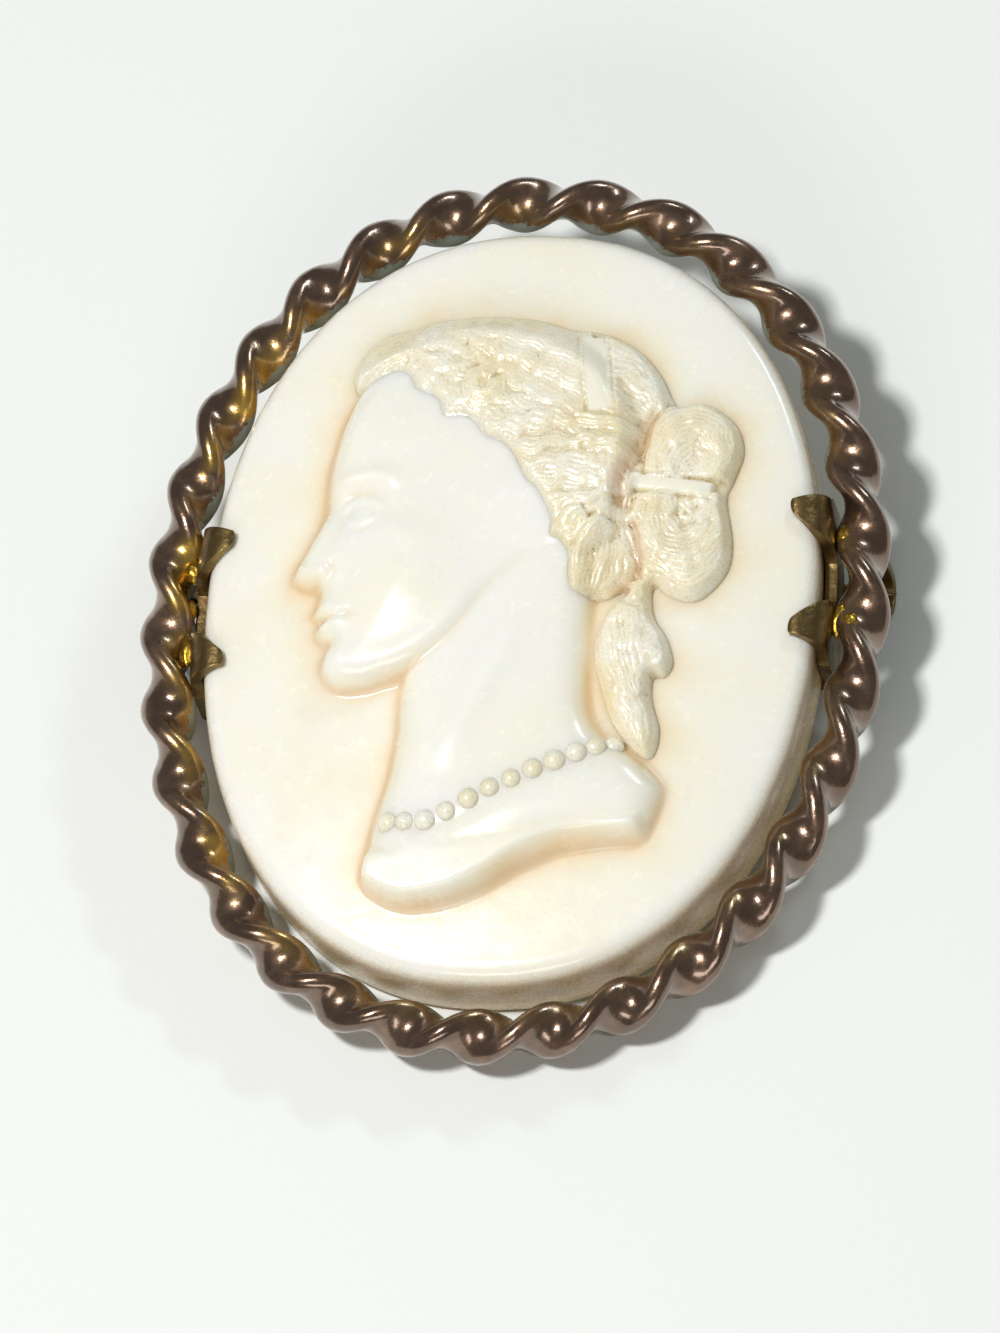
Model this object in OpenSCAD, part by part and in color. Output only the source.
// Oval cameo brooch: a carved shell oval in a twisted wire frame with four claws, a hinge, a pin and a catch.
// Millimetres. X runs across the oval, Y up the oval, Z out of its face.
// The brooch lies on its back, on the lower edge of the oval and on its two fittings.

/* [Cameo] */
// Width of the carved oval
cameo_w = 30.9; // [28:0.1:35]
// Height of the carved oval
cameo_h = 40.6; // [38:0.1:46]
// Fullness of the oval, 2 for an ellipse and more for fuller shoulders
fullness = 2.2; // [2:0.02:2.4]
// Thickness of the oval at its edge
edge_t = 4.3; // [3.2:0.1:5.5]
// Radius of the rounded upper edge
edge_r = 1; // [0.6:0.1:1.4]
// Bevel of the lower edge
back_bevel = 0.4; // [0.2:0.1:0.8]
// Rise of the smooth ground from the edge to its middle
dome_h = 1.1; // [0.4:0.1:2]
// Rise of the carved figure over the ground
relief_h = 2.3; // [1.2:0.1:3.2]
// Width of the rounded margin of the carved skin
flesh_edge = 1.5; // [0.8:0.1:2.4]
// Width of the rounded margin of the carved hair
hair_edge = 1.3; // [0.8:0.1:2.4]
// How far the back of the oval lies below the middle of the rope
back_drop = 2.4; // [1.6:0.1:2.8]
// Shift of the carved figure to the right of the oval's middle
figure_x = 0.1; // [-1:0.1:1]
// Shift of the carved figure up from the oval's middle
figure_rise = 0.3; // [-1:0.1:1]
// Turn of the carved figure, in degrees
figure_turn = 2.7; // [-6:0.1:6]

/* [Rope frame] */
// Width of the flat wire that the frame is twisted from
wire_w = 2.9; // [2.6:0.1:3.2]
// Thickness of the flat wire in the middle of its flats
wire_t = 1.6; // [1.2:0.1:2]
// Thickness of the flat wire at its round edges
wire_edge = 1.5; // [1:0.1:1.6]
// Half turns of the twist round the oval
half_turns = 32; // [24:1:38]
// Fullness of the rope's oval, 2 for an ellipse and more for fuller shoulders
rope_fullness = 2.08; // [2:0.02:2.4]
// Free space between the oval and the rope at the top and the bottom
end_room = 0.8; // [0.3:0.05:1.5]
// Where the twist starts, in degrees
twist_start = -36; // [-180:1:180]
// How far the twist runs ahead and back once round the oval, in degrees
twist_sway = 15; // [0:1:60]
// How much tighter the twist is at the sides than at the ends, in degrees
twist_pull = 38; // [0:1:80]

/* [Claws] */
// Thickness of the claw strips
strip_t = 0.6; // [0.4:0.05:0.7]
// Length of each strip along the side of the oval
strip_l = 8.8; // [8:0.1:10]
// Height of the strip's middle over the middle of the rope
strip_top = 0; // [-0.4:0.1:0.4]
// Distance between the roots of a strip's two claws
claw_gap = 5.5; // [5:0.1:5.6]
// How much further apart a claw's tip lies than its root
claw_splay = 0.65; // [0:0.05:1]
// Width of a claw at its root
claw_root = 3.2; // [2.6:0.1:3.2]
// Width of a claw where it bends over the edge
claw_neck = 2.6; // [1.8:0.1:2.8]
// Radius of a claw's tip
claw_tip_r = 0.35; // [0.25:0.05:0.5]
// How far a claw reaches in over the oval
claw_reach = 1.2; // [1.1:0.1:1.8]
// How far the left strip sits above the middle of the oval
left_rise = -0.2; // [-1:0.1:2]
// How far the right strip sits above the middle of the oval
right_rise = 2.1; // [-1:0.1:2.2]
// Reach of the ledge under the oval
ledge_reach = 1.2; // [0.6:0.1:2]

/* [Fittings] */
// Thickness of the pin's stem
stem_d = 0.9; // [0.7:0.05:1.1]
// Height of the pin's line above the middle of the oval
pin_rise = 3.2; // [2.6:0.05:4]
// Depth of the pin's line below the middle of the rope
pin_drop = 3.8; // [3.7:0.05:4.2]
// Length of the pin's point
point_l = 2.4; // [1:0.1:4]
// How far the point ends short of the rope's outer edge
point_short = 0.5; // [0:0.05:1]
// Outer radius of the catch
catch_r = 1.1; // [1:0.05:1.3]
// Thickness of the catch's strip
catch_t = 0.42; // [0.3:0.02:0.5]
// Width of the catch
catch_w = 1.8; // [1.2:0.1:2.4]
// Thickness of each hinge cheek
cheek_t = 0.5; // [0.4:0.05:0.7]
// Outer radius of the pin's eye
eye_r = 0.75; // [0.6:0.05:0.8]
// Thickness of the pin's axle
axle_d = 0.6; // [0.4:0.05:0.8]

/* [Clearances] */
// Play between the oval and the metal that holds it
seat_play = 0.12; // [0.08:0.01:0.2]
// Play of the pin in its hinge
hinge_play = 0.1; // [0.06:0.01:0.15]
// How deep soldered pieces run into the rope frame
solder_bite = 0.1; // [0.05:0.01:0.2]

/* [Hidden] */

rope_r = wire_w / 2;
half_w = cameo_w / 2;
half_h = cameo_h / 2;
side_room = seat_play + strip_t - solder_bite;
line_a = half_w + side_room + rope_r;
line_b = half_h + end_room + rope_r;
back_z = -back_drop;
rim_z = back_z + edge_t;
// A cutting body reaches this far past what it cuts
over = 1;
top_a = half_w - edge_r;
top_b = half_h - edge_r;

// Lean of the brooch at rest on the round undersides of the fittings and on what touches first at its foot:
// the lower edge of the oval's back or the rope's lower end
oval_run = [pin_rise + half_h - back_bevel, pin_drop - back_drop];
rope_run = [pin_rise + line_b, pin_drop];
lean = min(
    atan(oval_run.y / oval_run.x) + asin(catch_r / norm(oval_run)),
    atan(rope_run.y / rope_run.x) + asin((catch_r - rope_r) / norm(rope_run)));
rest_z = catch_r + pin_drop * cos(lean) - pin_rise * sin(lean);

// Columns: x and y of a point on the outline of face, neck and bust, as shares of the oval's half sizes
flesh_outline = [
    [-0.486, 0.554], [-0.543, 0.456], [-0.581, 0.353], [-0.594, 0.26], [-0.591, 0.216], [-0.639, 0.137],
    [-0.696, 0.054], [-0.671, 0.015], [-0.607, 0], [-0.613, -0.044], [-0.629, -0.064], [-0.597, -0.083],
    [-0.613, -0.108], [-0.575, -0.142], [-0.594, -0.186], [-0.569, -0.235], [-0.492, -0.265],
    [-0.377, -0.243], [-0.326, -0.27], [-0.332, -0.348], [-0.345, -0.451], [-0.39, -0.559],
    [-0.415, -0.662], [-0.435, -0.755], [-0.371, -0.804], [-0.281, -0.824], [-0.153, -0.814],
    [-0.019, -0.779], [0.109, -0.721], [0.243, -0.686], [0.383, -0.676], [0.46, -0.667], [0.486, -0.627],
    [0.518, -0.554], [0.505, -0.52], [0.396, -0.436], [0.319, -0.368], [0.294, -0.196], [0.268, 0],
    [0.256, 0.392], [-0.128, 0.613]
];

// The same columns for the outline of the hair over the head
hair_outline = [
    [-0.51, 0.57], [-0.518, 0.603], [-0.486, 0.652], [-0.409, 0.701], [-0.281, 0.725], [-0.109, 0.74],
    [0.045, 0.725], [0.179, 0.696], [0.268, 0.691], [0.371, 0.652], [0.46, 0.578], [0.498, 0.515],
    [0.518, 0.466], [0.435, 0.333], [0.441, 0.172], [0.441, 0.029], [0.377, -0.044], [0.281, -0.044],
    [0.204, -0.015], [0.192, 0.069], [0.128, 0.127], [0.089, 0.225], [0.019, 0.304], [-0.077, 0.373],
    [-0.179, 0.422], [-0.256, 0.485], [-0.345, 0.529], [-0.435, 0.549]
];

// Columns: x, y, half length, half width, turn in degrees, rise; x by the half width, y by the half height,
// lengths by the half width and the rise by the relief
forms = [
    [-0.27, 0.12, 0.38, 0.56, 0, 0.86],
    [-0.3, -0.08, 0.26, 0.2, -20, 0.8],
    [-0.03, -0.3, 0.29, 0.46, 4, 0.72],
    [0.04, -0.63, 0.5, 0.22, 8, 0.72],
    [0, 0.52, 0.46, 0.34, -8, 1],
    [0.3, 0.47, 0.21, 0.32, 0, 0.98],
    [-0.4, 0.6, 0.15, 0.09, 30, 0.9],
    [-0.09, 0.5, 0.09, 0.09, 0, 1.05],
    [0.13, 0.32, 0.24, 0.14, -25, 0.95],
    [0.3, 0.12, 0.17, 0.27, 10, 0.88],
    [0.25, 0.02, 0.08, 0.15, -15, 0.92],
    [0.61, 0.35, 0.13, 0.16, 0, 0.92],
    [0.56, 0.105, 0.155, 0.16, 0, 0.96],
    [0.4, -0.08, 0.085, 0.14, 0, 0.72],
    [0.41, -0.19, 0.12, 0.14, 0, 0.76],
    [0.4, -0.3, 0.08, 0.14, 0, 0.7],
    [0.44, -0.4, 0.065, 0.09, 20, 0.66]
];

// Columns: x and y of the two ends, half width, rise, as shares like those of the forms
bands = [
    [0.246, 0.667, 0.288, 0.407, 0.045, 1.06],
    [0.377, 0.243, 0.581, 0.233, 0.035, 1],
    [-0.29, -0.627, -0.153, -0.608, 0.034, 0.86],
    [-0.153, -0.608, 0.051, -0.529, 0.034, 0.86],
    [0.051, -0.529, 0.364, -0.431, 0.034, 0.86]
];

// Shares of the relief that the carved skin and hair rise to inside their margins
flesh_share = 0.62;
hair_share = 0.76;
// How late the ground falls away from its middle
dome_power = 2.4;

// Cells of the carved face across and up the oval
cells_x = 44;
cells_y = 60;
// Rings of the rounded edge, and sides and rings of the twisted wire
edge_rings = 3;
wire_sides = 12;
rings_per_turn = 6;

// A length limited to a share between 0 and 1
function share(v) = max(0, min(1, v));

// Height share of a quarter round margin of width w at the depth d inside its line
function rounded(d, w) = d <= 0 ? 0 : sqrt(1 - pow(1 - share(d / w), 2));

// Distance from the point p to the line from a to b
function reach(p, a, b) = norm(p - a - share((p - a) * (b - a) / ((b - a) * (b - a))) * (b - a));

// Crossings of the outline to the right of the point p
function crossings(p, line) = len([
    for (i = [0:len(line) - 1])
    let (a = line[i], b = line[(i + 1) % len(line)])
    if ((a.y > p.y) != (b.y > p.y) && p.x < a.x + (b.x - a.x) * (p.y - a.y) / (b.y - a.y)) i
]);

// Depth of the point p inside a closed outline, 0 outside it
function depth(p, line) = crossings(p, line) % 2 == 0 ? 0 : min([
    for (i = [0:len(line) - 1]) reach(p, line[i], line[(i + 1) % len(line)])
]);

// Rise of a half egg from the forms table at the point p
function form_rise(p, f) =
    let (d = p - [f[0] * half_w, f[1] * half_h],
         along = (d.x * cos(f[4]) + d.y * sin(f[4])) / (f[2] * half_w),
         across = (d.y * cos(f[4]) - d.x * sin(f[4])) / (f[3] * half_w))
    f[5] * sqrt(max(0, 1 - along * along - across * across));

// Rise of a round band from the bands table at the point p
function band_rise(p, b) =
    let (d = reach(p, [b[0] * half_w, b[1] * half_h], [b[2] * half_w, b[3] * half_h]), w = b[4] * half_w)
    d >= w ? 0 : b[5] * (0.85 + 0.15 * sqrt(1 - pow(d / w, 2)));

flesh_line = [for (q = flesh_outline) [q[0] * half_w, q[1] * half_h]];
hair_line = [for (q = hair_outline) [q[0] * half_w, q[1] * half_h]];

// The point p as the figure's own tables count it, without the figure's shift and turn
function in_figure(p) =
    let (d = p - [figure_x, figure_rise])
    [d.x * cos(figure_turn) + d.y * sin(figure_turn), d.y * cos(figure_turn) - d.x * sin(figure_turn)];

// The carved figure over the ground at the point p of its own tables
function relief(p) = relief_h * max(
    flesh_share * rounded(depth(p, flesh_line), flesh_edge),
    hair_share * rounded(depth(p, hair_line), hair_edge),
    max([for (f = forms) form_rise(p, f)]),
    max([for (b = bands) band_rise(p, b)]));

// Where the point x, y lies in a full oval of half sizes 1: 0 in its middle and 1 on its line
function full_norm(x, y, power) = pow(pow(abs(x), power) + pow(abs(y), power), 1 / power);

// Outward direction of a full oval with the half sizes a and b at its point p
function full_out(p, a, b, power) =
    let (n = [sign(p.x) * pow(abs(p.x) / a, power - 1) / a, sign(p.y) * pow(abs(p.y) / b, power - 1) / b])
    n / norm(n);

// The smooth ground at the point p
function ground(p) =
    rim_z + dome_h * (1 - pow(share(full_norm(p.x / top_a, p.y / top_b, fullness)), dome_power));

// A point of the square from -1 to 1 laid on a disc as full as the oval
function on_disc(u, v) =
    let (q = [u * sqrt(1 - v * v / 2), v * sqrt(1 - u * u / 2)])
    q == [0, 0] ? q : q * norm(q) / full_norm(q.x, q.y, fullness);

// The cells on the border of the square, counter-clockwise
border_n = 2 * (cells_x + cells_y);
function border_cell(k) =
    k < cells_x ? [k, 0]
    : k < cells_x + cells_y ? [cells_x, k - cells_x]
    : k < 2 * cells_x + cells_y ? [2 * cells_x + cells_y - k, cells_y]
    : [0, border_n - k];
function cell_point(c) = on_disc(2 * c[0] / cells_x - 1, 2 * c[1] / cells_y - 1);
function cell_index(c) = c[1] * (cells_x + 1) + c[0];

// The point of the oval's border k, pushed out by the length out and set at the height z
function border_point(k, out, z) =
    let (c = cell_point(border_cell(k)), p = [c.x * top_a, c.y * top_b])
    concat(p + out * full_out(p, top_a, top_b, fullness), z);

// The carved oval: its face is a net of cells, its edge and back are rings round it
module cameo_shape() {
    face_points = [
        for (j = [0:cells_y], i = [0:cells_x])
        let (c = cell_point([i, j]), p = [c.x * top_a, c.y * top_b])
        [p.x, p.y, ground(p) + relief(in_figure(p))]
    ];
    rings = concat(
        [
            for (r = [1:edge_rings])
            let (turn = 90 * r / edge_rings)
            [edge_r * sin(turn), rim_z - edge_r * (1 - cos(turn))]
        ],
        [[edge_r, back_z + back_bevel], [edge_r - back_bevel, back_z]]);
    ring_points = [for (r = rings, k = [0:border_n - 1]) border_point(k, r[0], r[1])];
    first = len(face_points);
    face_cells = [
        for (j = [0:cells_y - 1], i = [0:cells_x - 1])
        let (a = cell_index([i, j]), b = a + 1, c = a + cells_x + 1, d = c + 1)
        each [[a, c, d], [a, d, b]]
    ];
    edge_cells = [
        for (r = [0:len(rings) - 1], k = [0:border_n - 1])
        let (n = (k + 1) % border_n,
             a = r == 0 ? cell_index(border_cell(k)) : first + (r - 1) * border_n + k,
             b = r == 0 ? cell_index(border_cell(n)) : first + (r - 1) * border_n + n,
             c = first + r * border_n + k,
             d = first + r * border_n + n)
        each [[a, b, d], [a, d, c]]
    ];
    back_index = first + len(ring_points);
    last = back_index - border_n;
    back_cells = [for (k = [0:border_n - 1]) [last + k, last + (k + 1) % border_n, back_index]];
    polyhedron(
        points = concat(face_points, ring_points, [[0, 0, back_z]]),
        faces = concat(face_cells, edge_cells, back_cells));
}

// The middle line of the rope at the angle t, and its outward direction
function line_point(t) = [line_a * cos(t), line_b * sin(t)] / full_norm(cos(t), sin(t), rope_fullness);
function line_out(t) = full_out(line_point(t), line_a, line_b, rope_fullness);

// The turn of the twist at the angle t: it slants the same way all round
function twist_at(t) = half_turns * t / 2 + twist_start + twist_sway * cos(t) + twist_pull * sin(2 * t);

// The section across the flat wire: two round edges and slightly domed flats between them
section = [
    for (i = [0:wire_sides - 1])
    let (a = 360 * i / wire_sides, thick = cos(a) == 0 ? wire_t : wire_edge)
    [(wire_w - wire_edge) / 2 * sign(cos(a)) + wire_edge / 2 * cos(a), thick / 2 * sin(a)]
];

// The rope frame: the section of the flat wire swept round the oval while it turns
module rope() {
    n = half_turns * rings_per_turn;
    m = len(section);
    points = [
        for (i = [0:n - 1])
        let (t = 360 * i / n, w = twist_at(t), middle = line_point(t), out = line_out(t))
        for (q = section)
        concat(middle + (q.x * cos(w) - q.y * sin(w)) * out, q.x * sin(w) + q.y * cos(w))
    ];
    // With an odd number of half turns the last ring meets the first one half a turn on
    last_shift = half_turns % 2 * m / 2;
    faces = [
        for (i = [0:n - 1], k = [0:m - 1])
        let (shift = i == n - 1 ? last_shift : 0,
             next = (i + 1) % n,
             a = i * m + k,
             b = i * m + (k + 1) % m,
             c = next * m + (k + shift) % m,
             d = next * m + (k + 1 + shift) % m)
        each [[a, b, c], [b, d, c]]
    ];
    polyhedron(points = points, faces = faces);
}

// The side of the oval near the strips is a round wall, drawn through its points beside the strips' far ends
side_reach = strip_l / 2 + max(abs(left_rise), abs(right_rise));
side_drop = half_w * (1 - pow(1 - pow(side_reach / half_h, fullness), 1 / fullness));
side_radius = (side_reach * side_reach + side_drop * side_drop) / (2 * side_drop);
wall_x = half_w - side_radius;
strip_z = back_z - seat_play - strip_t;
bend_z = rim_z - edge_r;
claw_z = rim_z + seat_play + strip_t / 2;
// A claw narrows to this width where it reaches the ground of the oval
claw_end = 0.3 * claw_neck;

// Moves what is drawn beside the oval's middle round its wall to the height y
module along_wall(y) {
    translate([wall_x, 0, 0]) rotate([0, 0, asin(y / side_radius)]) translate([-wall_x, 0, 0]) children();
}

// Outline of a strip in the plane of its length and height
module strip_outline() {
    translate([-strip_l / 2, strip_z]) square([strip_l, strip_top - strip_z]);
    for (s = [-1, 1])
        polygon([
            [s * claw_gap / 2 - claw_root / 2, strip_top - strip_t],
            [s * claw_gap / 2 + claw_root / 2, strip_top - strip_t],
            [s * claw_gap / 2 + claw_neck / 2, bend_z],
            [s * claw_gap / 2 - claw_neck / 2, bend_z]
        ]);
}

// The bend of a claw over the rounded edge, cut from a round tube; it runs sideways by the length side
module claw_bend(side) {
    inner = edge_r + seat_play;
    translate([half_w - edge_r, 0, bend_z])
    intersection() {
        rotate([90, 0, 0]) difference() {
            cylinder(r = inner + strip_t, h = 2 * claw_root, center = true, $fn = 48);
            cylinder(r = inner, h = 2 * claw_root + over, center = true, $fn = 48);
        }
        linear_extrude(height = inner + strip_t + over)
        polygon([
            [0, side - claw_end / 2], [inner + strip_t, -claw_neck / 2],
            [inner + strip_t, claw_neck / 2], [0, side + claw_end / 2]
        ]);
    }
}

// The flat tip of a claw on the ground of the oval
module claw_tip(side) {
    hull() {
        translate([half_w - edge_r, side, claw_z])
            cube([solder_bite, claw_end, strip_t], center = true);
        translate([half_w - claw_reach + claw_tip_r, side, claw_z])
            cylinder(r = claw_tip_r, h = strip_t, center = true, $fn = 24);
    }
}

// A strip on edge beside the oval at the height rise, with its ledge below, its two claws and its solder
module bracket(rise) {
    wall_r = side_radius + seat_play;
    solder_y = strip_l / 4;
    solder_z = -rope_r / 2;
    // From the far end of the strip, where the wall has drawn in, to past its outer side
    near_x = half_w - edge_r - side_drop;
    intersection() {
        translate([wall_x, 0, strip_z]) difference() {
            cylinder(r = wall_r + strip_t, h = bend_z - strip_z, $fn = 96);
            translate([0, 0, -over]) cylinder(r = wall_r, h = bend_z - strip_z + 2 * over, $fn = 96);
        }
        translate([near_x, rise, 0]) rotate([90, 0, 90])
            linear_extrude(height = half_w + seat_play + strip_t + over - near_x) strip_outline();
    }
    intersection() {
        translate([wall_x, 0, strip_z]) difference() {
            cylinder(r = wall_r + strip_t, h = strip_t, $fn = 96);
            translate([0, 0, -over]) cylinder(r = wall_r - ledge_reach, h = strip_t + 2 * over, $fn = 96);
        }
        translate([near_x - ledge_reach, rise - strip_l / 2, strip_z - over])
            cube([half_w + seat_play + strip_t + over - near_x + ledge_reach, strip_l, strip_t + 2 * over]);
    }
    for (s = [-1, 1]) along_wall(rise + s * claw_gap / 2) {
        claw_bend(s * claw_splay);
        claw_tip(s * claw_splay);
    }
    for (s = [-1, 1]) along_wall(rise + s * solder_y)
        translate([half_w + seat_play + strip_t / 2, 0, solder_z])
            rotate([0, 90, 0]) cylinder(r = strip_t, h = line_a - half_w, $fn = 24);
}

// The fittings sit under the rope's middle line and run up into its wire to this depth
rope_x = line_a * pow(1 - pow(pin_rise / line_b, rope_fullness), 1 / rope_fullness);
root_z = -rope_r / 4;
cheek_r = catch_r - (stem_d / 2 + hinge_play + cheek_t) * sin(lean);

// Two cheeks under the rope that hold the pin's axle
module hinge() {
    for (s = [-1, 1])
        translate([-rope_x, pin_rise + s * (stem_d / 2 + hinge_play + cheek_t / 2), 0])
        difference() {
            union() {
                translate([0, 0, -pin_drop]) rotate([90, 0, 0])
                    cylinder(r = cheek_r, h = cheek_t, center = true, $fn = 48);
                translate([-cheek_r, -cheek_t / 2, -pin_drop])
                    cube([2 * cheek_r, cheek_t, pin_drop + root_z]);
            }
            translate([0, 0, -pin_drop]) rotate([90, 0, 0])
                cylinder(d = axle_d + 2 * hinge_play, h = cheek_t + over, center = true, $fn = 48);
        }
}

// A hook under the rope, open towards the foot of the oval
hook_start = -75;
hook_turn = 235;
module catch_hook() {
    translate([rope_x - catch_w / 2, pin_rise, -pin_drop]) {
        rotate([0, 90, 0]) rotate([0, 0, hook_start]) rotate_extrude(angle = hook_turn, $fn = 48)
            translate([catch_r - catch_t, 0]) square([catch_t, catch_w]);
        translate([0, catch_r - 2 * catch_t, catch_t])
            cube([catch_w, 2 * catch_t, pin_drop - catch_t + root_z]);
    }
}

// The pin, closed: an eye with its axle at the hinge, a stem and a point in the catch
module pin_shape() {
    eye_x = -rope_x;
    tip_x = line_a + rope_r - point_short;
    translate([0, pin_rise, -pin_drop]) {
        translate([eye_x, 0, 0]) rotate([90, 0, 0]) {
            cylinder(r = eye_r, h = stem_d, center = true, $fn = 48);
            cylinder(d = axle_d, h = stem_d + 2 * (hinge_play + cheek_t), center = true, $fn = 48);
        }
        translate([eye_x, 0, 0]) rotate([0, 90, 0])
            cylinder(d = stem_d, h = tip_x - point_l - eye_x, $fn = 48);
        translate([tip_x - point_l, 0, 0]) rotate([0, 90, 0])
            cylinder(d1 = stem_d, d2 = stem_d / 6, h = point_l, $fn = 48);
    }
}

// Lays a piece down as the brooch rests on its back
module at_rest() {
    translate([0, 0, rest_z]) rotate([lean, 0, 0]) children();
}

module cameo() {
    color("antiquewhite") at_rest() cameo_shape();
}

module setting() {
    color("saddlebrown") at_rest() {
        rope();
        bracket(right_rise);
        mirror([1, 0, 0]) bracket(left_rise);
        hinge();
        catch_hook();
    }
}

module pin() {
    color("darkgoldenrod") at_rest() pin_shape();
}

cameo();
setting();
pin();
